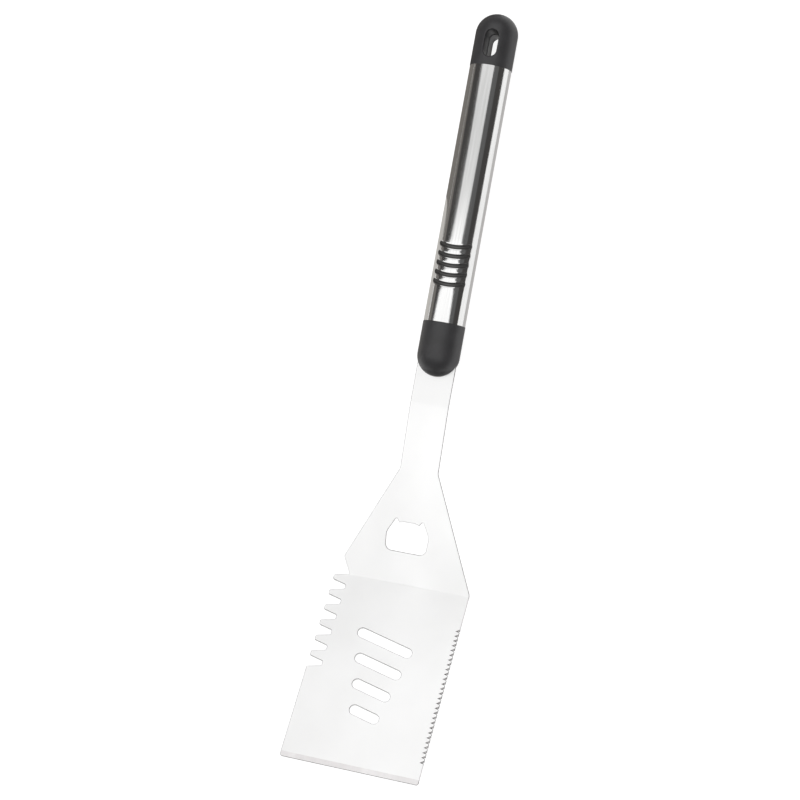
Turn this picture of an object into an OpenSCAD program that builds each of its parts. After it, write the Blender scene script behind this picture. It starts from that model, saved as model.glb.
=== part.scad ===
// Grill spatula: a stamped steel turner with toothed and serrated sides, a cap
// lifter in its shoulder, and a round tube handle closed by two moulded ends.
//
// It lies as on a table, top face up. +Y runs from the head to the rear cap,
// +X is to the right seen from above, and the origin is the middle of the
// bottom of its box. It rests on the underside of the head's bend line and on
// the two moulded ends.

/* [Handle tube] */
// Outside diameter of the tube
tube_d = 25; // [22:0.5:32]
// Wall of the tube
tube_wall = 0.6; // [0.5:0.1:0.9]
// Length of tube that shows between the moulded ends
tube_len = 154; // [110:1:220]

/* [Grip grooves] */
// Number of grooves pressed into the top of the tube
groove_count = 5; // [1:1:8]
// Distance from the middle of one groove to the next
groove_pitch = 5.6; // [4:0.1:9]
// Width of a groove
groove_w = 2.2; // [1.5:0.1:3]
// Depth of a groove
groove_depth = 0.45; // [0.2:0.05:0.6]
// Angle that a groove covers on each side of the top line
groove_half_angle = 42; // [20:1:60]
// How far the middle of a groove bows towards the ferrule
groove_bow = 1.5; // [0.5:0.1:3]
// Middle of the first groove, from the ferrule
groove_start = 22.2; // [20:0.1:60]

/* [Moulded ends] */
// How far the ends stand proud of the tube
end_proud = 0.15; // [0.1:0.05:1.5]
// Length of the front ferrule
ferrule_len = 31.6; // [26:0.2:50]
// Length of the rear cap that shows
cap_len = 32.8; // [30:0.2:50]
// Length of the spigots inside the tube
spigot_len = 16; // [10:1:19]
// Small radius at the lips next to the tube
lip_r = 0.3; // [0.1:0.1:0.5]
// Clearance between pieces that fit into each other
fit_gap = 0.05; // [0.02:0.01:0.1]

/* [Hanging slot] */
// Width of the hanging slot
hang_w = 8; // [6:0.5:10]
// Length of the hanging slot
hang_len = 16; // [12:0.5:19]
// Middle of the hanging slot, from the end of the cap
hang_from_end = 19.8; // [17:0.2:22]
// Rib at half depth, where the two mould halves met
hang_rib = 0.3; // [0.2:0.1:0.6]

/* [Sheet] */
// Thickness of the steel sheet
sheet_t = 1.5; // [1:0.1:2]
// Width of the neck
neck_w = 23.4; // [18:0.1:23.5]
// Straight neck between its soft bend and the shoulder
neck_len = 39; // [25:1:70]
// Ferrule to the soft bend in the neck
neck_bend_gap = 17.5; // [12:0.5:30]
// Radius of the soft bend in the neck
neck_bend_r = 30; // [10:1:40]
// Length of the flared shoulder
shoulder_len = 68.4; // [50:0.2:90]
// Radius where the neck meets the shoulder
neck_corner_r = 6; // [1:0.5:15]
// Radius of the bend between shoulder and head
head_bend_r = 3; // [2:0.5:6]

/* [Head] */
// Width of the head
head_w = 83; // [70:1:100]
// Length of the head from the bend line to the tip
head_len = 117; // [100:1:140]
// Rise of the head from the handle's direction
head_angle = 24; // [10:0.5:35]
// Radius of the tip corners
tip_corner_r = 1.5; // [0.5:0.5:6]
// Width of the ground bevel along the tip
bevel_w = 2.9; // [1:0.1:5]
// Thickness left at the tip
tip_edge_t = 0.35; // [0.2:0.05:0.8]

/* [Tenderiser teeth] */
// Number of whole teeth on the left side
tooth_count = 6; // [3:1:7]
// Distance from tooth to tooth
tooth_pitch = 9.9; // [9:0.1:11]
// Depth of the gaps between the teeth
tooth_depth = 8.6; // [5:0.1:9]
// Width of a tooth at its tip
tooth_tip_w = 3; // [2.5:0.1:4]
// Middle of the first tooth, from the bend line
tooth_start = 3.4; // [3:0.1:8]
// Width of the bottom of a gap
gullet_w = 2.8; // [2.5:0.1:4]

/* [Serration] */
// Number of fine saw teeth on the right side
saw_count = 28; // [10:1:29]
// Distance from saw tooth to saw tooth
saw_pitch = 3.02; // [2:0.02:3.2]
// Depth of a saw tooth at mid thickness
saw_depth = 1.5; // [0.6:0.1:1.7]
// Angle at which the saw teeth are ground in from the top face
saw_tilt = 40; // [0:5:45]
// Start of the serration, from the bend line
saw_start = 20; // [10:0.5:24]

/* [Turner slots] */
// Number of slots through the head
slot_count = 4; // [2:1:4]
// Width of a slot
slot_w = 6; // [4:0.5:8]
// Overall length of the slot nearest the handle
slot_len = 36; // [30:1:50]
// How much shorter each next slot is
slot_step = 5.7; // [3:0.1:7]
// Distance between slots
slot_pitch = 15; // [12:0.5:18]
// Middle of the first slot, from the bend line
slot_start = 38; // [30:1:45]
// Tilt of the slots from the bend line
slot_tilt = 13.6; // [0:0.2:20]

/* [Cap lifter] */
// Width of the cap lifter's window
lifter_w = 26; // [24:1:30]
// Length of the window, from its base to the lip
lifter_len = 17.2; // [15:0.2:20]
// Base of the window, from the bend line
lifter_base = 19.2; // [14:0.2:26]
// Width of the lip
lip_w = 12.4; // [10:0.2:14]
// Depth of the two small corners beside the lip
ear_depth = 2.8; // [1:0.1:4]
// How far the middle of the lip is hollowed
lip_hollow = 0.7; // [0:0.1:1.5]
// Sideways place of the window
lifter_x = -1; // [-3:0.5:3]

/* [Tang and core] */
// Width of the tang inside the handle
tang_w = 15; // [10:1:16]
// Length of the tang inside the tube
tang_in_tube = 14; // [10:1:15]
// Diameter of the core inside the ferrule
core_d = 20; // [18:1:21]
// Front wall of the ferrule, at the middle of its dome
ferrule_front = 12; // [8:0.5:14]
// Diameter of the rivets' shanks
rivet_d = 4; // [3:0.5:5]
// Diameter of the rivets' heads
rivet_head_d = 7; // [6:0.5:9]
// Thickness of a rivet's head
rivet_head_t = 1.4; // [1:0.1:2]
// Thickness that the rivets clamp
rivet_grip = 9; // [7:0.5:10]

/* [Hidden] */
$fn = 96;
arc_steps = 6;

end_r = tube_d / 2 + end_proud;
bore_r = tube_d / 2 - tube_wall;
spigot_r = bore_r - fit_gap;
core_r = core_d / 2;

// The handle's axis lies at axis_z, and the sheet's middle plane runs down from
// it to the bend line, which rests on the table.
axis_z = end_r;
bend_z = sheet_t / 2;
sheet_run = neck_len + shoulder_len;
neck_slope = asin((axis_z - bend_z) / sheet_run);

// Places along Y. The joint is where the ferrule meets the tube, and a rivet
// sits this far behind the step that starts each half of the core.
rivet_inset = 6;
half_t = sheet_t / 2;
blade_reach = ferrule_len + neck_bend_gap + sheet_run * cos(neck_slope)
    + head_len * cos(head_angle) + half_t * sin(head_angle);
total_len = blade_reach + tube_len + cap_len;
joint_y = blade_reach - total_len / 2;
ferrule_y = joint_y - ferrule_len;
neck_bend_y = ferrule_y - neck_bend_gap;
head_bend_y = neck_bend_y - sheet_run * cos(neck_slope);
rear_joint_y = joint_y + tube_len;
end_y = rear_joint_y + cap_len;
neck_end_y = ferrule_y + ferrule_front;
tang_end_y = joint_y + tang_in_tube;
hang_y = end_y - hang_from_end;
rivet_ys = [neck_end_y + rivet_inset, joint_y + rivet_inset];

// Half widths of the blade, and the line of the gaps' bottoms on its left side.
half_head = head_w / 2;
half_neck = neck_w / 2;
root_x = -half_head + tooth_depth;

// How far outlines run past the bends, prisms past the sheet and cuts past what
// they cut.
bend_overlap = 1.4;
plane_reach = 5;
cut_reach = 20;
past = 1;

// A unit vector, and the vector a quarter turn to the left of it.
function unit(v) = v / norm(v);
function left_of(v) = [-v.y, v.x];

// The turn from angle a to angle b, by the shorter way.
function turn(a, b) = b - a > 180 ? b - a - 360 : b - a < -180 ? b - a + 360 : b - a;
function heading(v) = atan2(v.y, v.x);

// The points of one corner b between a and c, rounded with radius r.
function round_corner(a, b, c, r) =
    let (
        u = unit(a - b),
        v = unit(c - b),
        half = acos(u * v) / 2,
        centre = b + unit(u + v) * r / sin(half),
        from = b + u * r / tan(half),
        to = b + v * r / tan(half),
        start = heading(from - centre),
        sweep = turn(start, heading(to - centre))
    )
    [for (i = [0 : arc_steps]) centre + r * [cos(start + sweep * i / arc_steps),
        sin(start + sweep * i / arc_steps)]];

// A closed outline from corners [x, y, radius]. A radius of 0 is a sharp corner.
function flat(p) = [p.x, p.y];
function rounded(corners) =
    let (n = len(corners))
    [for (i = [0 : n - 1])
        let (b = corners[i])
        each b[2] == 0 ? [flat(b)]
            : round_corner(flat(corners[(i + n - 1) % n]), flat(b), flat(corners[(i + 1) % n]), b[2])];

// The sheet's side view, as [y, z] of its middle plane from tang to tip.
spine = [
    [tang_end_y, axis_z],
    [neck_bend_y, axis_z],
    [head_bend_y, bend_z],
    [head_bend_y - head_len * cos(head_angle), bend_z + head_len * sin(head_angle)]
];
// A point of the spine moved by d to the left of its direction, as a mitre.
function mitre(i, d) =
    let (
        a = left_of(unit(spine[i] - spine[i - 1])),
        b = left_of(unit(spine[i + 1] - spine[i]))
    )
    spine[i] + d * (a + b) / (1 + a * b);
function end_point(i, dir, d) = spine[i] + d * left_of(dir);

tang_dir = [-1, 0];
head_dir = unit(spine[3] - spine[2]);
bevel_start = end_point(3, head_dir, -half_t) - bevel_w * head_dir;
edge_top = end_point(3, head_dir, half_t - tip_edge_t);

function corner(p, r) = [p.x, p.y, r];
side_view = rounded([
    corner(end_point(0, tang_dir, half_t), 0),
    corner(mitre(1, half_t), neck_bend_r - half_t),
    corner(mitre(2, half_t), head_bend_r + half_t),
    corner(end_point(3, head_dir, half_t), 0),
    corner(edge_top, 0),
    corner(bevel_start, 0),
    corner(mitre(2, -half_t), head_bend_r - half_t),
    corner(mitre(1, -half_t), neck_bend_r + half_t),
    corner(end_point(0, tang_dir, -half_t), 0)
]);

// Outlines in the planes of the sheet. x is as in the whole part, and y is the
// distance from the bend line, towards the handle for the shoulder.
flare_end = 1.5;
flare_corner_r = 6;
notch_top = 10.6;
notch_top_x = -half_head + (notch_top - flare_end) * (half_head - half_neck)
    / (shoulder_len - flare_end);
notch_corner_r = 2;
gullet_r = 1.2;
tooth_tip_r = 0.9;
shoulder_outline = rounded([
    [half_head, -bend_overlap, 0],
    [half_head, flare_end, flare_corner_r],
    [half_neck, shoulder_len, neck_corner_r],
    [half_neck, sheet_run + bend_overlap, 0],
    [-half_neck, sheet_run + bend_overlap, 0],
    [-half_neck, shoulder_len, neck_corner_r],
    [notch_top_x, notch_top, notch_corner_r],
    [root_x, bend_overlap, gullet_r],
    [root_x, -bend_overlap, 0]
]);

// The neck's end and the tang, in plan.
tang_outline = [
    [half_neck, neck_bend_y - bend_overlap],
    [half_neck, neck_end_y],
    [tang_w / 2, neck_end_y],
    [tang_w / 2, tang_end_y + past],
    [-tang_w / 2, tang_end_y + past],
    [-tang_w / 2, neck_end_y],
    [-half_neck, neck_end_y],
    [-half_neck, neck_bend_y - bend_overlap]
];

// The head's left side, from the last gap up to the first tooth.
function gap_y(i) = -(tooth_start + tooth_pitch * (i - 0.5));
half_tip = tooth_tip_w / 2;
half_gullet = gullet_w / 2;
tip_reach = tooth_pitch / 2 - half_tip;
tooth_corners = [
    for (i = [tooth_count : -1 : 0]) each concat(
        [
            [-half_head, gap_y(i) - tip_reach, tooth_tip_r],
            [root_x, gap_y(i) - half_gullet, gullet_r]
        ],
        i == 0 ? [] : [
            [root_x, gap_y(i) + half_gullet, gullet_r],
            [-half_head, gap_y(i) + tip_reach, tooth_tip_r]
        ]
    )
];
head_outline = rounded(concat(
    [
        [root_x, bend_overlap, 0],
        [half_head, bend_overlap, 0],
        [half_head, -head_len, tip_corner_r],
        [-half_head, -head_len, tip_corner_r]
    ],
    tooth_corners
));

// The cap lifter's window, about its own middle line, from its base up.
half_lifter = lifter_w / 2;
half_lip = lip_w / 2;
base_inset = 0.7;
base_r = 4;
widest_y = lifter_len * 0.62;
widest_r = 8;
ear_w = 2;
ear_r = 0.8;
lip_corner_r = 0.3;
hollow_r = 3;
lifter_corners = [
    [half_lifter - base_inset, 0, base_r],
    [half_lifter, widest_y, widest_r],
    [half_lip + ear_w, lifter_len + ear_depth, ear_r],
    [half_lip, lifter_len, lip_corner_r],
    [half_lip / 2, lifter_len + lip_hollow, hollow_r]
];
lifter_outline = rounded(concat(
    lifter_corners,
    [for (i = [len(lifter_corners) - 1 : -1 : 0])
        [-lifter_corners[i].x, lifter_corners[i].y, lifter_corners[i][2]]]
));

// Places its children in the plane of the head or of the shoulder, with the
// bend line as y = 0 and the sheet's middle plane as z = 0.
module in_head_plane() {
    translate([0, head_bend_y, bend_z])
        rotate([-head_angle, 0, 0])
            children();
}

module in_shoulder_plane() {
    translate([0, head_bend_y, bend_z])
        rotate([neck_slope, 0, 0])
            children();
}

// A straight slot with round ends, along X, centred.
module obround(length, width) {
    square([length - width, width], center = true);
    for (side = [-1, 1])
        translate([side * (length - width) / 2, 0])
            circle(d = width);
}

// The bent sheet over the whole width of the head.
module bent_sheet() {
    rotate([90, 0, 90])
        linear_extrude(head_w + 2 * past, center = true)
            polygon(side_view);
}

// The half space on the handle's side (side = 1) or the head's side (side = -1)
// of a plane across the sheet at a bend, which splits the bend in two.
module bend_half(y, z, tilt, side) {
    reach = 2 * head_len + 2 * sheet_run;
    translate([0, y, z])
        rotate([tilt, 0, 0])
            translate([0, side * reach / 2, 0])
                cube(reach, center = true);
}

// Prisms through the sheet that leave the outline of each flat stretch. They
// meet in the middle of each bend.
module outline_prisms() {
    head_tilt = (neck_slope - head_angle) / 2;
    neck_tilt = neck_slope / 2;
    intersection() {
        in_head_plane()
            linear_extrude(2 * plane_reach, center = true)
                polygon(head_outline);
        bend_half(head_bend_y, bend_z, head_tilt, -1);
    }
    intersection() {
        in_shoulder_plane()
            linear_extrude(2 * plane_reach, center = true)
                polygon(shoulder_outline);
        bend_half(head_bend_y, bend_z, head_tilt, 1);
        bend_half(neck_bend_y, axis_z, neck_tilt, -1);
    }
    intersection() {
        translate([0, 0, axis_z - plane_reach])
            linear_extrude(2 * plane_reach)
                polygon(tang_outline);
        bend_half(neck_bend_y, axis_z, neck_tilt, 1);
    }
}

module turner_slots() {
    in_head_plane()
        for (i = [0 : slot_count - 1])
            translate([0, -slot_start - i * slot_pitch, -cut_reach / 2])
                rotate([0, 0, -slot_tilt])
                    linear_extrude(cut_reach)
                        obround(slot_len - i * slot_step, slot_w);
}

module lifter_window() {
    in_shoulder_plane()
        translate([lifter_x, lifter_base, -cut_reach / 2])
            linear_extrude(cut_reach)
                polygon(lifter_outline);
}

// One saw tooth gap, from the tip above to the tip below. Its lower wall is
// square to the edge, and it is ground in from the top face.
module saw_gap() {
    wall_lean = 0.6;
    lap = 0.02;
    bottom_x = -saw_depth * cos(saw_tilt);
    rotate([0, -saw_tilt, 0])
        linear_extrude(cut_reach, center = true)
            polygon([[saw_depth, saw_pitch], [bottom_x, wall_lean], [saw_depth, -lap]]);
}

module serration() {
    in_head_plane()
        for (i = [1 : saw_count])
            translate([half_head, -saw_start - i * saw_pitch, 0])
                saw_gap();
}

module rivet_holes(d) {
    for (y = rivet_ys)
        translate([0, y, axis_z - end_r])
            cylinder(d = d, h = 2 * end_r);
}

module blade() {
    color("silver")
        difference() {
            intersection() {
                bent_sheet();
                outline_prisms();
            }
            turner_slots();
            lifter_window();
            serration();
            rivet_holes(rivet_d + 2 * fit_gap);
        }
}

// A solid of revolution about the handle's axis. Its children are the profile,
// with x as the radius and y as the place along Y.
module about_axis() {
    translate([0, 0, axis_z])
        rotate([-90, 0, 0])
            rotate_extrude()
                children();
}

// Half of a bar with one domed end at y = 0 and a soft lip at y = length. The
// dome ends in a tiny flat, where the mould's gate was.
gate_flat = 0.02;
module domed_profile(length) {
    dome_y = end_r - gate_flat;
    intersection() {
        union() {
            translate([0, dome_y])
                circle(r = end_r);
            translate([0, dome_y])
                square([end_r, length - dome_y - lip_r]);
            translate([0, dome_y])
                square([end_r - lip_r, length - dome_y]);
            translate([end_r - lip_r, length - lip_r])
                circle(r = lip_r);
        }
        square([end_r + past, length]);
    }
}

// The ferrule is bored from behind for the core and slotted in front for the neck.
module front_ferrule() {
    bore_len = ferrule_len - ferrule_front;
    color("dimgray")
        difference() {
            translate([0, ferrule_y, 0])
                about_axis()
                    domed_profile(ferrule_len);
            translate([0, neck_end_y, axis_z])
                rotate([-90, 0, 0])
                    cylinder(r = core_r + fit_gap, h = bore_len + past);
            translate([-half_neck - fit_gap, ferrule_y - past, axis_z - half_t - fit_gap])
                cube([neck_w + 2 * fit_gap, ferrule_front + past + fit_gap, sheet_t + 2 * fit_gap]);
        }
}

// The core is two half-round pieces that clamp the tang. Its front fills the
// ferrule, and its thicker rear is the spigot of the tube.
module core_half() {
    front_y = neck_end_y + fit_gap;
    difference() {
        union() {
            translate([0, front_y, axis_z])
                rotate([-90, 0, 0])
                    cylinder(r = core_r, h = joint_y + past - front_y);
            translate([0, joint_y + fit_gap, axis_z])
                rotate([-90, 0, 0])
                    cylinder(r = spigot_r, h = spigot_len - fit_gap);
        }
        translate([-end_r, ferrule_y, 0])
            cube([2 * end_r, total_len, axis_z + fit_gap / 2]);
        translate([-tang_w / 2 - fit_gap, ferrule_y, axis_z - past])
            cube([tang_w + 2 * fit_gap, tang_end_y + fit_gap - ferrule_y, half_t + fit_gap + past]);
        rivet_holes(rivet_d + 2 * fit_gap);
        for (y = rivet_ys)
            translate([0, y, axis_z + rivet_grip / 2])
                cylinder(d = rivet_head_d + 2 * fit_gap, h = end_r);
    }
}

module tang_core_top() {
    color("gray")
        core_half();
}

module tang_core_bottom() {
    color("slategray")
        translate([0, 0, 2 * axis_z])
            mirror([0, 0, 1])
                core_half();
}

module rivet(y) {
    head_z = rivet_grip / 2 + fit_gap;
    translate([0, y, axis_z]) {
        cylinder(d = rivet_d, h = 2 * head_z, center = true);
        for (side = [0, 1])
            mirror([0, 0, side])
                translate([0, 0, head_z])
                    cylinder(d = rivet_head_d, h = rivet_head_t);
    }
}

module tang_rivet_front() {
    color("lightsteelblue")
        rivet(rivet_ys[0]);
}

module tang_rivet_rear() {
    color("lightsteelblue")
        rivet(rivet_ys[1]);
}

// The plan of one pressed groove: a bowed band with round ends, as points along
// its outer side, round one end, back along its inner side and round the other.
groove_half_x = tube_d / 2 * sin(groove_half_angle);
groove_r = (groove_half_x * groove_half_x + groove_bow * groove_bow) / (2 * groove_bow);
groove_end_angle = asin(groove_half_x / groove_r);
groove_steps = 10;
function on_bow(a, r) = [r * sin(a), -r * cos(a)];
function bow_side(side, r) =
    [for (i = [0 : groove_steps]) on_bow(side * groove_end_angle * (1 - 2 * i / groove_steps), r)];
function bow_end(side) =
    [for (i = [1 : arc_steps - 1])
        let (a = side * (groove_end_angle - 90) + 180 * i / arc_steps)
        on_bow(side * groove_end_angle, groove_r) + groove_w / 2 * [cos(a), sin(a)]];
groove_plan = concat(
    bow_side(-1, groove_r + groove_w / 2),
    bow_end(1),
    bow_side(1, groove_r - groove_w / 2),
    bow_end(-1)
);

// All grooves as posts that stand over the tube's top, on its own axis height.
module groove_posts() {
    for (i = [0 : groove_count - 1])
        translate([0, joint_y + groove_start + i * groove_pitch + groove_r, axis_z])
            linear_extrude(tube_d)
                polygon(groove_plan);
}

module ring_around_axis(outer, inner, length) {
    rotate([-90, 0, 0])
        difference() {
            cylinder(r = outer, h = length);
            translate([0, 0, -past])
                cylinder(r = inner, h = length + 2 * past);
        }
}

// The tube, with each groove pressed in outside and standing as a bead inside.
module handle_tube() {
    groove_zone = groove_start + groove_count * groove_pitch + groove_bow + groove_w;
    wall_len = tube_len - 2 * fit_gap;
    color("lightgray") {
        difference() {
            translate([0, joint_y + fit_gap, axis_z])
                ring_around_axis(tube_d / 2, bore_r, wall_len);
            intersection() {
                groove_posts();
                translate([0, joint_y + past, axis_z])
                    ring_around_axis(tube_d, tube_d / 2 - groove_depth, groove_zone);
            }
        }
        intersection() {
            groove_posts();
            translate([0, joint_y + past, axis_z])
                ring_around_axis(bore_r + tube_wall - groove_depth, bore_r - groove_depth, groove_zone);
        }
    }
}

// The rear cap has a hollow spigot, and a slot to hang it by.
module rear_cap() {
    spigot_wall = 2.5;
    pocket_depth = 3;
    rib_t = 2;
    color("dimgray")
        difference() {
            union() {
                translate([0, rear_joint_y, 0])
                    about_axis()
                        translate([0, cap_len])
                            mirror([0, 1])
                                domed_profile(cap_len);
                translate([0, rear_joint_y - spigot_len, axis_z])
                    rotate([-90, 0, 0])
                        cylinder(r = spigot_r, h = spigot_len + past);
            }
            translate([0, rear_joint_y - spigot_len - past, axis_z])
                rotate([-90, 0, 0])
                    cylinder(r = spigot_r - spigot_wall, h = spigot_len + past + pocket_depth);
            for (side = [0, 1])
                translate([0, hang_y, axis_z])
                    mirror([0, 0, side])
                        translate([0, 0, rib_t / 2])
                            linear_extrude(end_r)
                                rotate([0, 0, 90])
                                    obround(hang_len, hang_w);
            translate([0, hang_y, axis_z - rib_t])
                linear_extrude(2 * rib_t)
                    rotate([0, 0, 90])
                        obround(hang_len - 2 * hang_rib, hang_w - 2 * hang_rib);
        }
}

blade();
front_ferrule();
tang_core_top();
tang_core_bottom();
tang_rivet_front();
tang_rivet_rear();
handle_tube();
rear_cap();
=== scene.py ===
# %% [markdown]
# # A grill spatula around its CAD frame
#
# The tool is a stamped steel turner on a round steel tube handle with two
# moulded black ends. Its CAD model comes in as a fixed frame: it says where each
# piece is and how large. Blender's share is the looks, so this script copies or
# remodels the pieces that show, gives every piece a worked material, and lights
# them like a small studio. Nothing of the frame is moved.

# %% Load the frame
import math

import bpy
from mathutils import Matrix, Vector


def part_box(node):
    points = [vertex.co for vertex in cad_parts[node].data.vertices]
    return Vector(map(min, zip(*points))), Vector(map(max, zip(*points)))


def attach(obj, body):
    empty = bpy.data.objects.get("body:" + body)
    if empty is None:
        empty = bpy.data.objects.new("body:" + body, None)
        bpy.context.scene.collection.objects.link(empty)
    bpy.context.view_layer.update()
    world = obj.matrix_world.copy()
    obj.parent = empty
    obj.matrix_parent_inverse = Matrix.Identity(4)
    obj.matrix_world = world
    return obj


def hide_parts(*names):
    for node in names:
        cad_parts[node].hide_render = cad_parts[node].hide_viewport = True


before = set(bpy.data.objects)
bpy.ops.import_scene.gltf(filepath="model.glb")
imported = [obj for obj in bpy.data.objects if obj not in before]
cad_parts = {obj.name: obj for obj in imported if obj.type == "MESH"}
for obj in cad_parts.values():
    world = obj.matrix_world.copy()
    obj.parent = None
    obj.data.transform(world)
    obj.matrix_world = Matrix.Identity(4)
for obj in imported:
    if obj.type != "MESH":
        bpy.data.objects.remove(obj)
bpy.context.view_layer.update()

MM = 0.001

# %% [markdown]
# ## Places to work from
#
# Every new piece sits where its CAD node sits, so the few places that the script
# needs are read from the nodes' boxes: the handle's axis, the two joints where
# the tube meets its ends, and the tips of the two ends.

# %% Read the places
ferrule_low, ferrule_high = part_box("front_ferrule")
cap_low, cap_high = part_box("rear_cap")
tube_low, tube_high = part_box("handle_tube")
blade_low, blade_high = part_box("blade")

axis_z = (ferrule_low.z + ferrule_high.z) / 2
end_r = (ferrule_high.z - ferrule_low.z) / 2
tube_r = (tube_high.x - tube_low.x) / 2
ferrule_tip_y = ferrule_low.y
joint_y = ferrule_high.y
rear_joint_y = tube_high.y
cap_tip_y = cap_high.y
joints_mm = [round(y / MM, 1) for y in (joint_y, rear_joint_y)]
print(f"axis at z {axis_z / MM:.2f} mm, joints at y, mm: {joints_mm}")

# %% [markdown]
# ## Camera
#
# A long lens from above keeps the tool's proportions, as catalogue pictures do.
# The camera is turned about the handle first, then leant along it, then rolled
# so that the tool runs up the picture with its rear cap to the right.

# %% Place the camera
around_handle = math.radians(14.4)
lean_along = math.radians(2.24)
roll = math.radians(10.34)
from_joint = Vector((-26.16, -44.79, 1246.8)) * MM

camera_data = bpy.data.cameras.new("camera")
camera_data.sensor_width = 36
camera_data.lens = 95.13
camera = bpy.data.objects.new("camera", camera_data)
bpy.context.collection.objects.link(camera)
turned = (
    Matrix.Rotation(around_handle, 3, "Y")
    @ Matrix.Rotation(lean_along, 3, "X")
    @ Matrix.Rotation(roll, 3, "Z")
)
stand_point = turned @ from_joint + Vector((0, joint_y, axis_z))
camera.matrix_world = Matrix.Translation(stand_point) @ turned.to_4x4()
bpy.context.scene.camera = camera
print("camera at, mm:", [round(c / MM) for c in camera.matrix_world.translation])

# %% [markdown]
# ## Short ways to work
#
# Modelling by operator acts on whatever is selected, so a few helpers keep that
# in hand. One takes one object alone, one bakes the place of a new primitive
# into its mesh, and one picks vertices by where they are. The others apply a
# modifier, cut with a closed shape, clean a finished mesh and report it.

# %% Helpers for modelling
def take(piece):
    """Selects one object, alone, and makes it the active one."""
    bpy.ops.object.select_all(action="DESELECT")
    piece.select_set(True)
    bpy.context.view_layer.objects.active = piece
    return piece


def settle(name):
    """Names the primitive that was just added, and puts its place into its mesh."""
    piece = bpy.context.object
    piece.name = name
    piece.data.name = name
    bpy.ops.object.transform_apply(location=True, rotation=True, scale=True)
    return piece


def pick(test):
    """In edit mode: selects exactly the vertices whose place passes the test."""
    bpy.ops.mesh.select_mode(type="VERT")
    bpy.ops.mesh.select_all(action="DESELECT")
    bpy.ops.object.mode_set(mode="OBJECT")
    chosen = 0
    for vertex in bpy.context.object.data.vertices:
        vertex.select = bool(test(vertex.co))
        chosen += vertex.select
    bpy.ops.object.mode_set(mode="EDIT")
    return chosen


def apply_modifier(piece, kind, **settings):
    """Adds a modifier to the piece, sets it up and applies it."""
    take(piece)
    modifier = piece.modifiers.new(kind.lower(), kind)
    for setting, value in settings.items():
        setattr(modifier, setting, value)
    bpy.ops.object.modifier_apply(modifier=modifier.name)


def carve(piece, cutter):
    """Cuts one closed shape out of a piece, and clears the cutter away."""
    apply_modifier(piece, "BOOLEAN", operation="DIFFERENCE", solver="EXACT", object=cutter)
    take(cutter)
    bpy.ops.object.delete()


def close_up(piece):
    """Joins doubled points, turns the faces outwards and smooths the soft edges."""
    take(piece)
    bpy.ops.object.mode_set(mode="EDIT")
    bpy.ops.mesh.select_all(action="SELECT")
    bpy.ops.mesh.remove_doubles(threshold=0.002 * MM)
    bpy.ops.mesh.normals_make_consistent(inside=False)
    bpy.ops.object.mode_set(mode="OBJECT")
    bpy.ops.object.shade_smooth_by_angle(angle=math.radians(30))


def stands_for(piece, node):
    """Rides the finished piece on the tool's one body, in place of its CAD node."""
    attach(piece, "root")
    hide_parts(node)
    print(f"{piece.name}: {len(piece.data.polygons)} faces, stands for {node}")


print("helpers ready")

# %% [markdown]
# ## Short ways to mix a material
#
# A finish that looks real is never one flat value. Each one here starts from a
# noise pattern in the object's own coordinates, stretched along the direction in
# which the metal was rolled or brushed, and sends it to the colour, to the
# roughness and to a fine relief. The class below keeps those steps short.

# %% Helpers for materials
class Finish:
    """A material in the making, with short ways to add patterns and join them."""

    def __init__(self, name, roughness, metallic):
        self.material = bpy.data.materials.new(name)
        self.material.use_nodes = True
        self.tree = self.material.node_tree
        self.shader = self.tree.nodes["Principled BSDF"]
        self.shader.inputs["Roughness"].default_value = roughness
        self.shader.inputs["Metallic"].default_value = metallic
        self.place = self.add("ShaderNodeTexCoord").outputs["Object"]
        self.bump = None

    def add(self, kind, values=None, **settings):
        """A new node with its settings and the values of its sockets."""
        node = self.tree.nodes.new(kind)
        for setting, value in settings.items():
            setattr(node, setting, value)
        for socket, value in (values or {}).items():
            node.inputs[socket].default_value = value
        return node

    def join(self, source, target):
        self.tree.links.new(source, target)

    def noise(self, per_metre, detail=3):
        """Noise with so many grains to the metre along each of its three axes."""
        stretch = self.add("ShaderNodeMapping", {"Scale": per_metre})
        self.join(self.place, stretch.inputs["Vector"])
        grains = self.add("ShaderNodeTexNoise", {"Scale": 1, "Detail": detail})
        self.join(stretch.outputs["Vector"], grains.inputs["Vector"])
        return grains.outputs["Fac"]

    def spread(self, value, low, high, start=0.3, end=0.7):
        """The same pattern, spread over another range of values."""
        ends = {"From Min": start, "From Max": end, "To Min": low, "To Max": high}
        scaled = self.add("ShaderNodeMapRange", ends)
        self.join(value, scaled.inputs["Value"])
        return scaled.outputs["Result"]

    def tones(self, value, dark, light, start=0.3, end=0.7):
        """Colours the surface from dark to light as the pattern rises."""
        ramp = self.add("ShaderNodeValToRGB")
        first, last = ramp.color_ramp.elements
        first.position, first.color = start, (*dark, 1)
        last.position, last.color = end, (*light, 1)
        self.join(value, ramp.inputs["Fac"])
        return ramp.outputs["Color"]

    def colour(self, tones):
        self.join(tones, self.shader.inputs["Base Color"])

    def rough(self, value, low, high):
        self.join(self.spread(value, low, high), self.shader.inputs["Roughness"])

    def relief(self, value, depth, strength=1.0):
        """Adds the pattern to the surface as a fine relief, in metres of depth."""
        bump = self.add("ShaderNodeBump", {"Strength": strength, "Distance": depth})
        self.join(value, bump.inputs["Height"])
        if self.bump:
            self.join(self.bump.outputs["Normal"], bump.inputs["Normal"])
        self.join(bump.outputs["Normal"], self.shader.inputs["Normal"])
        self.bump = bump


print("material helpers ready")

# %% [markdown]
# ## Satin sheet steel
#
# The blade is stamped from cold rolled stainless sheet. Rolling leaves a grain
# along the tool, and the tumbling after stamping leaves a soft satin with faint
# clouds, where handling has polished it a little. Metal shows almost only what
# it reflects, so the clouds go to the roughness more than to the colour.

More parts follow.
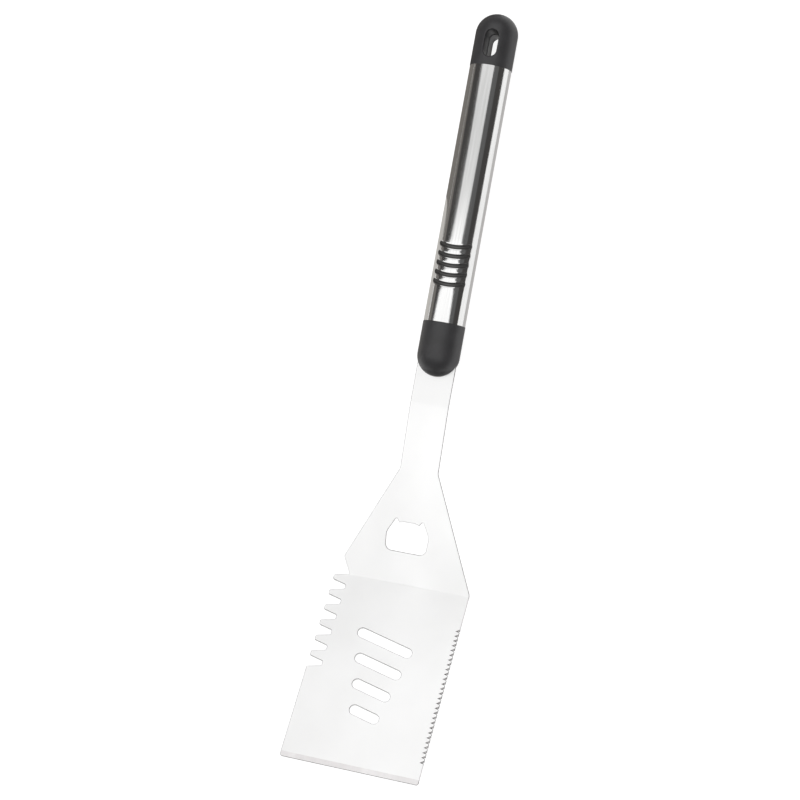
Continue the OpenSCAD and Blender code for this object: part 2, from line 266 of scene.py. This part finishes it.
# %% Mix the satin sheet steel
sheet_steel = Finish("blade_satin_steel", roughness=0.4, metallic=1)
clouds = sheet_steel.noise((22, 16, 22), detail=4)
grain = sheet_steel.noise((2600, 70, 2600), detail=2)
sheet_steel.colour(sheet_steel.tones(clouds, (0.815, 0.814, 0.811), (0.855, 0.855, 0.853)))
sheet_steel.rough(clouds, 0.37, 0.34)
sheet_steel.relief(grain, depth=0.004 * MM, strength=0.4)
print("mixed", sheet_steel.material.name)

# %% [markdown]
# ## Sheared walls, rolled rims and ground edges
#
# A punch leaves two marks. The wall it shears is duller than the sheet, with fine
# tear lines through the thickness. Where it went in, the sheet rolls over into a
# small round rim, whose colour is painted dark as painted shade: the thin dark line
# round every cut. The tip and the saw edge are ground afterwards, with short scratches.

# %% Mix the three edge finishes, the rim's with painted shade
sheared_edge = Finish("blade_sheared_edge", roughness=0.45, metallic=1)
tear_lines = sheared_edge.noise((2400, 2400, 180), detail=3)
sheared_edge.colour(sheared_edge.tones(tear_lines, (0.62, 0.615, 0.61), (0.78, 0.778, 0.775)))
sheared_edge.rough(tear_lines, 0.36, 0.5)
sheared_edge.relief(tear_lines, depth=0.02 * MM)

# The rim's colour is painted dark, near black: painted shade for the thin dark line round every cut.
rim_painted_shade = Finish("blade_rim_painted_shade", roughness=0.45, metallic=1)
rim_mottle = rim_painted_shade.noise((160, 160, 160), detail=3)
rim_painted_shade.colour(rim_painted_shade.tones(rim_mottle, (0.1, 0.098, 0.095), (0.2, 0.197, 0.193)))
rim_painted_shade.rough(rim_mottle, 0.5, 0.38)
rim_painted_shade.relief(rim_mottle, depth=0.01 * MM, strength=0.5)

ground_edge = Finish("blade_ground_bevel", roughness=0.42, metallic=1)
scratches = ground_edge.noise((3200, 120, 120), detail=3)
heat = ground_edge.noise((26, 26, 26), detail=2)
ground_edge.colour(ground_edge.tones(heat, (0.72, 0.70, 0.70), (0.82, 0.805, 0.805)))
ground_edge.rough(scratches, 0.34, 0.52)
ground_edge.relief(scratches, depth=0.012 * MM)
print("mixed the sheared, rolled and ground edges")

# %% [markdown]
# ## The blade
#
# The CAD blade already has every cut in its place, so its mesh is copied rather
# than traced again. A CAD copy is loose triangles with knife-sharp edges: its
# doubled points are merged, its flat faces dissolved into whole faces, and a
# fine bevel breaks all its edges, which is what catches the light on real sheet.

# %% Copy the blade and break its edges
edge_break = 0.2 * MM
blade = bpy.data.objects.new("blade_sheet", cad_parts["blade"].data.copy())
bpy.context.collection.objects.link(blade)
take(blade)
bpy.ops.object.mode_set(mode="EDIT")
bpy.ops.mesh.select_all(action="SELECT")
bpy.ops.mesh.remove_doubles(threshold=0.002 * MM)
bpy.ops.mesh.dissolve_limited(angle_limit=math.radians(0.3))
bpy.ops.object.mode_set(mode="OBJECT")
print("blade faces before the bevel:", len(blade.data.polygons))
apply_modifier(
    blade, "BEVEL", width=edge_break, segments=2, limit_method="ANGLE",
    angle_limit=math.radians(35), use_clamp_overlap=False,
)
bpy.ops.object.shade_smooth_by_angle(angle=math.radians(18))
apply_modifier(blade, "WEIGHTED_NORMAL", weight=100, keep_sharp=True)

# %% [markdown]
# Each face then takes the finish of how it was made. The sheet has three flat
# stretches, the neck, the shoulder and the head. A face that looks the same way as
# its stretch is rolled sheet, and so are the two bends. One that looks out
# sideways was sheared. What lies between is ground if it is the tip's slope or a
# facet of the saw, and otherwise it is the rolled rim, which takes the painted shade.

# %% Give each face of the blade its finish
head_rise = math.radians(24)
shoulder_drop = math.radians(6.36)
bevel_strip = 3.2 * MM
head_bend_y = -117.72 * MM
neck_bend_y = -10.99 * MM
head_up = Vector((0, math.sin(head_rise), math.cos(head_rise)))
shoulder_up = Vector((0, -math.sin(shoulder_drop), math.cos(shoulder_drop)))
neck_up = Vector((0, 0, 1))


def stretch_up(y):
    """The way the sheet's top looks at this place along the tool."""
    if y < head_bend_y:
        return head_up
    return shoulder_up if y < neck_bend_y else neck_up


SHEET, WALL, RIM, GROUND = range(4)
bend_reach = 4 * MM
along_tool = 0.02
sheet_facing = 0.97
wall_facing = 0.25
tip_flattest, tip_steepest = 0.96, 0.87
saw_steepest = 0.3
smallest_facet = 0.4 * MM**2
largest_facet = 20 * smallest_facet
saw_side_x = blade_high.x - 3 * MM


def finish_of(face):
    """Which of the four finishes a face of the blade takes."""
    facing = face.normal.dot(stretch_up(face.center.y))
    off_bend = min(abs(face.center.y - head_bend_y), abs(face.center.y - neck_bend_y))
    in_bend = off_bend < bend_reach and abs(face.normal.x) < along_tool
    if in_bend or abs(facing) > sheet_facing:
        return SHEET
    if abs(facing) < wall_facing:
        return WALL
    near_tip = face.center.y < blade_low.y + bevel_strip * math.cos(head_rise)
    if near_tip and tip_steepest < facing < tip_flattest and face.area > largest_facet:
        return GROUND
    on_saw = face.center.x > saw_side_x and face.center.y < head_bend_y
    if on_saw and facing > saw_steepest and smallest_facet < face.area < largest_facet:
        return GROUND
    return RIM


blade.data.materials.clear()
for finish in (sheet_steel, sheared_edge, rim_painted_shade, ground_edge):
    blade.data.materials.append(finish.material)
counts = [0, 0, 0, 0]
for face in blade.data.polygons:
    face.material_index = finish_of(face)
    counts[face.material_index] += 1
stands_for(blade, "blade")
print("sheet, sheared, rolled and ground faces:", counts)

# %% [markdown]
# ## Brushed tube steel
#
# The handle is thin welded tube, polished and then brushed lightly along its
# length. It still mirrors the room in long bands. The brushing is a noise with
# thousands of grains to the metre round the tube and only a few along it. The
# brush doesn't reach into the pressed grooves, so the steel is rougher there, and
# its colour there is painted dark as painted shade. The tube's points carry their
# depth as an attribute for that.

# %% Mix the brushed tube steel
tube_steel = Finish("tube_brushed_steel", roughness=0.11, metallic=1)
haze = tube_steel.noise((60, 12, 60), detail=3)
brush = tube_steel.noise((2200, 26, 2200), detail=2)
bright = tube_steel.tones(brush, (0.70, 0.698, 0.692), (0.79, 0.79, 0.785))

depth = tube_steel.add("ShaderNodeAttribute", attribute_name="groove_depth").outputs["Fac"]
# Painted shade: inside the grooves the steel's colour is darkened to near black.
groove_painted_shade = tube_steel.tones(depth, (0.1, 0.098, 0.096), (0.13, 0.128, 0.125), start=0.75, end=1)
in_groove = tube_steel.spread(depth, 0, 1, start=0.1, end=0.24)
# The colour mixes the brushed steel with the grooves' painted shade.
finished = tube_steel.add("ShaderNodeMix", data_type="RGBA")
colour_a, colour_b = finished.inputs[6], finished.inputs[7]
tube_steel.join(in_groove, finished.inputs["Factor"])
tube_steel.join(bright, colour_a)
tube_steel.join(groove_painted_shade, colour_b)
tube_steel.colour(finished.outputs[2])
groove_roughness = 0.55
roughness = tube_steel.add("ShaderNodeMix", {"B": groove_roughness})
tube_steel.join(in_groove, roughness.inputs["Factor"])
tube_steel.join(tube_steel.spread(haze, 0.08, 0.14), roughness.inputs["A"])
tube_steel.join(roughness.outputs["Result"], tube_steel.shader.inputs["Roughness"])
tube_steel.relief(brush, depth=0.003 * MM, strength=0.5)
print("mixed", tube_steel.material.name)

# %% [markdown]
# ## The handle tube
#
# Five grip grooves are pressed into the top of the tube, each bowed towards the
# blade. A pressed groove has no sharp edge: the wall flows into it. So the tube
# is an open cylinder with fine rows where the grooves are, each point is
# weighted by how near it lies to a groove's middle line, and a Displace modifier
# presses the weighted points in. Solidify then gives the wall its thickness.

# %% Start the tube and cut it into rows
sides = 192
row = 0.24 * MM
groove_start = 22.2 * MM
groove_pitch = 5.6 * MM
groove_count = 5
groove_margin = 5 * MM
zone_start = joint_y + groove_start - groove_margin
zone_end = joint_y + groove_start + (groove_count - 1) * groove_pitch + groove_margin
zone_rows = round((zone_end - zone_start) / row)

bpy.ops.object.select_all(action="DESELECT")
bpy.ops.mesh.primitive_cylinder_add(
    vertices=sides, radius=tube_r, depth=tube_high.y - tube_low.y, end_fill_type="NOTHING",
    location=(0, (tube_low.y + tube_high.y) / 2, axis_z), rotation=(math.pi / 2, 0, 0),
)
tube = settle("handle_tube_shell")
bpy.ops.object.mode_set(mode="EDIT")
for cut_y in (zone_start, zone_end):
    bpy.ops.mesh.select_all(action="SELECT")
    bpy.ops.mesh.bisect(plane_co=(0, cut_y, 0), plane_no=(0, 1, 0))
bpy.ops.mesh.select_mode(type="EDGE")
bpy.ops.mesh.select_all(action="DESELECT")
bpy.ops.object.mode_set(mode="OBJECT")
points = tube.data.vertices
for edge in tube.data.edges:
    ends = sorted(points[i].co.y for i in edge.vertices)
    edge.select = ends[0] > zone_start - row and ends[1] < zone_end + row and ends[1] - ends[0] > row
bpy.ops.object.mode_set(mode="EDIT")
bpy.ops.mesh.subdivide(number_cuts=zone_rows - 1)
bpy.ops.object.mode_set(mode="OBJECT")
print("tube points:", len(tube.data.vertices), "rows in the groove zone:", zone_rows)

# %% Press the grooves and thicken the wall
groove_depth = 0.6 * MM
groove_half_w = 1.65 * MM
draw_in = 0.06
draw_spread = 2.6 * MM
groove_reach = tube_r * math.sin(math.radians(42))
groove_bow = 1.5 * MM
bow_r = (groove_reach**2 + groove_bow**2) / (2 * groove_bow)
wall = 0.6 * MM


def trough(distance, half_w):
    """A smooth groove section: 1 on its middle line, 0 from its sides on."""
    return 0.5 + 0.5 * math.cos(math.pi * min(1, distance / half_w))


def bell(distance, spread):
    """A wider, softer section, for the wall that is drawn in round a groove."""
    return math.exp(-((distance / spread) ** 2))


def pressed(place):
    """How far a point of the tube's top is pressed in, from 0 to about 1."""
    if place.z < axis_z:
        return 0
    weight = 0
    for i in range(groove_count):
        centre_y = joint_y + groove_start + i * groove_pitch + bow_r
        off_line = math.hypot(place.x, place.y - centre_y) - bow_r
        past_end = max(0, abs(place.x) - groove_reach)
        distance = math.hypot(off_line, past_end)
        weight += trough(distance, groove_half_w) + draw_in * bell(distance, draw_spread)
    return weight


weights = tube.vertex_groups.new(name="pressed")
depths = [pressed(vertex.co) for vertex in tube.data.vertices]
for index, weight in enumerate(depths):
    if weight > 0.001:
        weights.add([index], min(weight, 1), "REPLACE")
tube.data.attributes.new("groove_depth", "FLOAT", "POINT").data.foreach_set("value", depths)
apply_modifier(
    tube, "DISPLACE", strength=-groove_depth, mid_level=0, direction="NORMAL", vertex_group="pressed"
)
apply_modifier(tube, "SOLIDIFY", thickness=wall, offset=-1, use_even_offset=False)
take(tube)
bpy.ops.object.shade_smooth_by_angle(angle=math.radians(40))
tube.data.materials.append(tube_steel.material)
stands_for(tube, "handle_tube")
print("deepest weight:", round(max(depths), 2))

# %% [markdown]
# ## Moulded black plastic
#
# The two ends are moulded in black nylon. The mould was spark eroded, which
# leaves a fine even grain that scatters the light to a soft sheen, and a faint
# parting line runs along both sides where the mould halves met.

# %% Mix the moulded plastic
plastic = Finish("end_black_plastic", roughness=0.5, metallic=0)
mottle = plastic.noise((140, 140, 140), detail=3)
erosion = plastic.noise((4200, 4200, 4200), detail=2)
plastic.colour(plastic.tones(mottle, (0.04, 0.039, 0.041), (0.05, 0.049, 0.052)))
plastic.rough(erosion, 0.38, 0.5)
plastic.relief(erosion, depth=0.02 * MM, strength=0.6)

height = plastic.add("ShaderNodeSeparateXYZ")
plastic.join(plastic.place, height.inputs["Vector"])
parting_half_w = 0.09 * MM
parting = plastic.add("ShaderNodeMath", {1: axis_z, 2: parting_half_w}, operation="COMPARE")
plastic.join(height.outputs["Z"], parting.inputs[0])
plastic.relief(parting.outputs["Value"], depth=0.03 * MM)
print("mixed", plastic.material.name)

# %% [markdown]
# ## The moulded ends
#
# Each end is a dome on a round bar, so both start as a sphere. Its half on the
# tube's side is deleted, and the open rim is pulled along the axis ring by ring:
# the straight bar, the small lip at the joint, then inwards to the parts that the
# tube hides. One list of rings says it all, and one function pulls it.

# %% Pull an end out of a sphere
end_sides = 128
lip_r = 0.3 * MM


def lip_rings(length):
    """Rings round the small lip where the end meets the tube."""
    rings = [(length - lip_r, end_r)]
    for step in (30, 60, 90):
        a = math.radians(step)
        rings.append((length - lip_r + lip_r * math.sin(a), end_r - lip_r + lip_r * math.cos(a)))
    return rings


def moulded_end(name, tip_y, way, rings):
    """A dome with its tip at tip_y, pulled out along way through (length, radius) rings."""
    bpy.ops.object.select_all(action="DESELECT")
    dome_y = tip_y + way * end_r
    bpy.ops.mesh.primitive_uv_sphere_add(
        segments=end_sides, ring_count=64, radius=end_r, location=(0, dome_y, axis_z),
        rotation=(math.pi / 2, 0, 0),
    )
    piece = settle(name)
    bpy.ops.object.mode_set(mode="EDIT")
    hair = 0.01 * MM
    pick(lambda p: (p.y - dome_y) * way > hair)
    bpy.ops.mesh.delete(type="VERT")
    pick(lambda p: abs(p.y - dome_y) < hair)
    at, radius = end_r, end_r
    for length, new_radius in rings:
        bpy.ops.mesh.extrude_region_move(
            TRANSFORM_OT_translate={"value": (0, way * (length - at), 0)}
        )
        ratio = new_radius / radius
        centre = (0, tip_y + way * length, axis_z)
        bpy.ops.transform.resize(value=(ratio, 1, ratio), center_override=centre)
        at, radius = length, new_radius
    bpy.ops.mesh.edge_face_add()
    bpy.ops.object.mode_set(mode="OBJECT")
    print(name, "pulled through", len(rings), "rings")
    return piece


# %% [markdown]
# ### Front ferrule
#
# Behind its lip the ferrule is bored for the core that holds the blade's tang,
# and its dome has a flat slot through which the neck of the blade comes out.

# %% Model the front ferrule
fit_gap = 0.05 * MM
core_low, core_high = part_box("tang_core_top")
ferrule_len = joint_y - ferrule_tip_y
core_r = 10 * MM
bore_r = core_r + fit_gap
bore_bottom = core_low.y - fit_gap - ferrule_tip_y
ferrule = moulded_end(
    "front_ferrule_moulding", ferrule_tip_y, 1,
    lip_rings(ferrule_len) + [(ferrule_len, bore_r), (bore_bottom, bore_r)],
)
neck_w = 23.4 * MM
sheet_t = 1.5 * MM
slot_reach = 14 * MM
bpy.ops.object.select_all(action="DESELECT")
bpy.ops.mesh.primitive_cube_add(
    size=1, location=(0, bore_bottom + ferrule_tip_y - slot_reach / 2 + fit_gap, axis_z),
    scale=(neck_w + 2 * fit_gap, slot_reach, sheet_t + 2 * fit_gap),
)
carve(ferrule, settle("neck_slot_cutter"))
close_up(ferrule)
ferrule.data.materials.append(plastic.material)
stands_for(ferrule, "front_ferrule")

# %% [markdown]
# ### Rear cap
#
# The cap goes on as a hollow spigot inside the tube. A slot to hang it by goes
# right through it. Its rims are well rounded, and halfway down, where the two
# mould halves met, a small step is left all round. One cutter shapes all of
# that: a stack of circles is drawn apart into a long slot, and its top and
# bottom circles flare out to follow the round of the cap.

# %% Model the rear cap's body
cap_len = cap_tip_y - rear_joint_y
spigot_wall = 2.5 * MM
pocket_past_joint = 3 * MM
spigot_r = tube_r - wall - fit_gap
spigot_end = cap_tip_y - cap_low.y
pocket_r = spigot_r - spigot_wall
pocket_bottom = cap_len - pocket_past_joint
hidden_rings = [
    (cap_len, spigot_r),
    (spigot_end, spigot_r),
    (spigot_end, pocket_r),
    (pocket_bottom, pocket_r),
]
cap = moulded_end("rear_cap_moulding", cap_tip_y, -1, lip_rings(cap_len) + hidden_rings)

# %% Cut the hanging slot with rounded rims
hang_w = 8 * MM
hang_len = 16 * MM
hang_y = cap_tip_y - 19.8 * MM
rim_r = 0.9 * MM
rib_half = 1 * MM
rib_step = 0.3 * MM
draft = 0.1 * MM
dome_y = cap_tip_y - end_r


def top_height(x, y):
    """The height of the cap's outside above the handle's axis."""
    return math.sqrt(max(0, end_r**2 - x**2 - max(0, y - dome_y) ** 2))


half_w = hang_w / 2
flare = math.radians(75)
flare_run = 2 * MM
past_cap = 4 * MM
flared_to = end_r + 3 * MM
profile = [(rib_half, half_w - draft - rib_step), (rib_half, half_w - draft)]
for step in range(0, 90, 15):
    a = math.radians(step)
    profile.append((end_r - rim_r * (1 - math.sin(a)), half_w + rim_r * (1 - math.cos(a))))
last_height, last_r = profile[-1]
flared_r = last_r + flare_run * math.sin(flare)
profile.append((last_height + flare_run * math.cos(flare), flared_r))
profile.append((end_r + past_cap, flared_r))
rings = [(-ring_height, ring_r) for ring_height, ring_r in reversed(profile)] + profile

bpy.ops.object.select_all(action="DESELECT")
height_now, radius_now = rings[0]
bpy.ops.mesh.primitive_circle_add(
    vertices=64, radius=radius_now, fill_type="NGON", location=(0, hang_y, axis_z + height_now)
)
cutter = settle("hanging_slot_cutter")
bpy.ops.object.mode_set(mode="EDIT")
bpy.ops.mesh.select_all(action="SELECT")
for ring_height, ring_r in rings[1:]:
    bpy.ops.mesh.extrude_region_move(TRANSFORM_OT_translate={"value": (0, 0, ring_height - height_now)})
    ratio = ring_r / radius_now
    bpy.ops.transform.resize(
        value=(ratio, ratio, 1), center_override=(0, hang_y, axis_z + ring_height)
    )
    height_now, radius_now = ring_height, ring_r
bpy.ops.object.mode_set(mode="OBJECT")
draw_apart = (hang_len - hang_w) / 2
on_middle = 0.001 * MM
for vertex in cutter.data.vertices:
    place = vertex.co
    if abs(place.y - hang_y) > on_middle:
        place.y += math.copysign(draw_apart, place.y - hang_y)
    above = place.z - axis_z
    if half_w < abs(above) < flared_to:
        drop = end_r - top_height(place.x, place.y)
        place.z -= math.copysign(drop, above)
carve(cap, cutter)
close_up(cap)
cap.data.materials.append(plastic.material)
stands_for(cap, "rear_cap")

# %% [markdown]
# ## The hidden core and its rivets
#
# Inside the ferrule two half-round plastic pieces clamp the blade's tang, and
# two rivets hold them. Nobody sees them in the finished tool, so their CAD
# shapes stay as they are, but they get true finishes for whoever opens it up:
# glass-filled nylon with pale fibres near the surface, and zinc-plated steel.

# %% Mix and assign the hidden finishes
nylon = Finish("core_glass_nylon", roughness=0.55, metallic=0)
fibres = nylon.noise((900, 200, 900), detail=4)
nylon.colour(nylon.tones(fibres, (0.20, 0.20, 0.21), (0.29, 0.29, 0.30)))
nylon.rough(fibres, 0.48, 0.66)
nylon.relief(fibres, depth=0.02 * MM, strength=0.5)

zinc = Finish("rivet_zinc_plate", roughness=0.35, metallic=1)
spangle = zinc.noise((700, 700, 700), detail=3)
zinc.colour(zinc.tones(spangle, (0.60, 0.61, 0.63), (0.74, 0.75, 0.76)))
zinc.rough(spangle, 0.28, 0.45)
zinc.relief(spangle, depth=0.01 * MM, strength=0.5)

for node_name, finish in (
    ("tang_core_top", nylon),
    ("tang_core_bottom", nylon),
    ("tang_rivet_front", zinc),
    ("tang_rivet_rear", zinc),
):
    for material_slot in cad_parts[node_name].material_slots:
        material_slot.material = finish.material
    print(node_name, "takes", finish.material.name)

# %% [markdown]
# ## The studio
#
# Steel is a mirror, so the light is built for what the steel should see. A wide
# soft light hangs overhead, brighter and wider in some rows than in others,
# beside a dim ceiling. Grey cards on the floor and two upright cards at the sides
# fill the rest, and past them the room is nearly dark, which draws the long dark
# bands down the tube. The floor is a pale table that glows a little, so that
# shadows stay faint. The cards' sizes and places are in plain metres.

# %% Lay the floor
def glow_material(name, colour, strength, bounce=0):
    """A plain light-giving material for floor and cards, and how much it bounces."""
    material = bpy.data.materials.new(name)
    material.use_nodes = True
    shader = material.node_tree.nodes["Principled BSDF"]
    shader.inputs["Base Color"].default_value = (bounce, bounce, bounce, 1)
    shader.inputs["Roughness"].default_value = 1
    shader.inputs["Specular IOR Level"].default_value = 0
    shader.inputs["Emission Color"].default_value = (*colour, 1)
    shader.inputs["Emission Strength"].default_value = strength
    return material


bpy.ops.object.select_all(action="DESELECT")
bpy.ops.mesh.primitive_plane_add(size=8, location=(0, 0, -0.02 * MM))
floor = settle("floor")
floor.data.materials.append(glow_material("pale_floor", (1, 1, 1), 0.9, bounce=0.35))
print("floor laid")

# %% Hang the lights
def card(name, corners, faces, colour, strength):
    """A card of light or shade that the tool mirrors and the camera doesn't see."""
    mesh = bpy.data.meshes.new(name)
    mesh.from_pydata(corners, [], faces)
    made = bpy.data.objects.new(name, mesh)
    bpy.context.collection.objects.link(made)
    made.data.materials.append(glow_material(name, colour, strength))
    made.visible_camera = False
    made.visible_shadow = False
    return made


def softbox(name, height, rows):
    """A level light. A row gives how far along, left and right, in degrees from
    straight up, and how bright the light is there."""
    corners = []
    for along, left, right, _ in rows:
        y = height * math.tan(math.radians(along))
        for across in (left, right):
            corners.append((height * math.tan(math.radians(across)), y, height))
    faces = [(2 * i, 2 * i + 1, 2 * i + 3, 2 * i + 2) for i in range(len(rows) - 1)]
    made = card(name, corners, faces, (1, 1, 1), 1)
    levels = [level for *_, level in rows for _ in (0, 1)]
    made.data.attributes.new("level", "FLOAT", "POINT").data.foreach_set("value", levels)
    tree = made.data.materials[0].node_tree
    level = tree.nodes.new("ShaderNodeAttribute")
    level.attribute_name = "level"
    tree.links.new(level.outputs["Fac"], tree.nodes["Principled BSDF"].inputs["Emission Strength"])


softbox("softbox_overhead", 2.0, [
    (-30, -64, 38, 1.4),
    (-6, -64, 38, 1.41),
    (2, -64, 38, 1.08),
    (5.6, -64, 38, 1.3),
    (8.2, -53, 28, 1.4),
    (9.7, -41, 24, 1.22),
    (11.8, -27, 31, 0.8),
    (16, -30, 31, 0.84),
    (25, -46, 30, 1.3),
    (58, -46, 30, 1.32),
])
softbox("dim_ceiling", 2.1, [(-30, 20, 58, 0.13), (30, 20, 58, 0.13)])
print("lights hung")

# %% Lay and stand the cards
def floor_strip(name, near, far, start_y, end_y, colour, strength):
    """A grey card that lies on the floor, from near to far along X."""
    lift = 0.1 * MM
    corners = [(near, start_y, lift), (far, start_y, lift), (far, end_y, lift), (near, end_y, lift)]
    card(name, corners, [(0, 1, 2, 3)], colour, strength).visible_diffuse = False


def standing(name, x, start, end, colour, strength):
    """An upright card beside the tool; start and end give a place along Y and a height."""
    (start_y, start_height), (end_y, end_height) = start, end
    corners = [(x, start_y, 0), (x, end_y, 0), (x, end_y, end_height), (x, start_y, start_height)]
    card(name, corners, [(0, 1, 2, 3)], colour, strength).visible_diffuse = False


middle_y = (joint_y + rear_joint_y) / 2
warm_grey = (1, 0.97, 0.94)
floor_strip("shade_right", 0.002, 0.03, ferrule_tip_y, cap_tip_y, (0.97, 0.95, 0.94), 0.6)
floor_strip("shade_left", -0.9, -0.002, middle_y, cap_tip_y + 0.1, (1, 0.94, 0.87), 0.22)
floor_strip("shade_left_low", -0.3, -0.002, ferrule_tip_y, middle_y, (1, 0.97, 0.93), 0.62)
floor_strip("shade_far_right", 0.28, 3, 0.21, 2.5, warm_grey, 0.1)
floor_strip("shade_rear", -1.5, 1.5, 0.5, 4, warm_grey, 0.08)
standing("low_light_right", 1.5, (0.1, 0.1), (0.3, 0.0), (1, 0.99, 0.98), 1.25)
standing("low_shade_left", -1.5, (0, 0.8), (0.55, 0.28), (1, 0.94, 0.88), 0.21)
print("cards in place")

# %% Darken the room
world = bpy.data.worlds.new("dark_room")
world.use_nodes = True
world.node_tree.nodes["Background"].inputs["Color"].default_value = (0.065, 0.062, 0.06, 1)
bpy.context.scene.world = world
bpy.context.scene.view_settings.view_transform = "Standard"
print("room darkened")
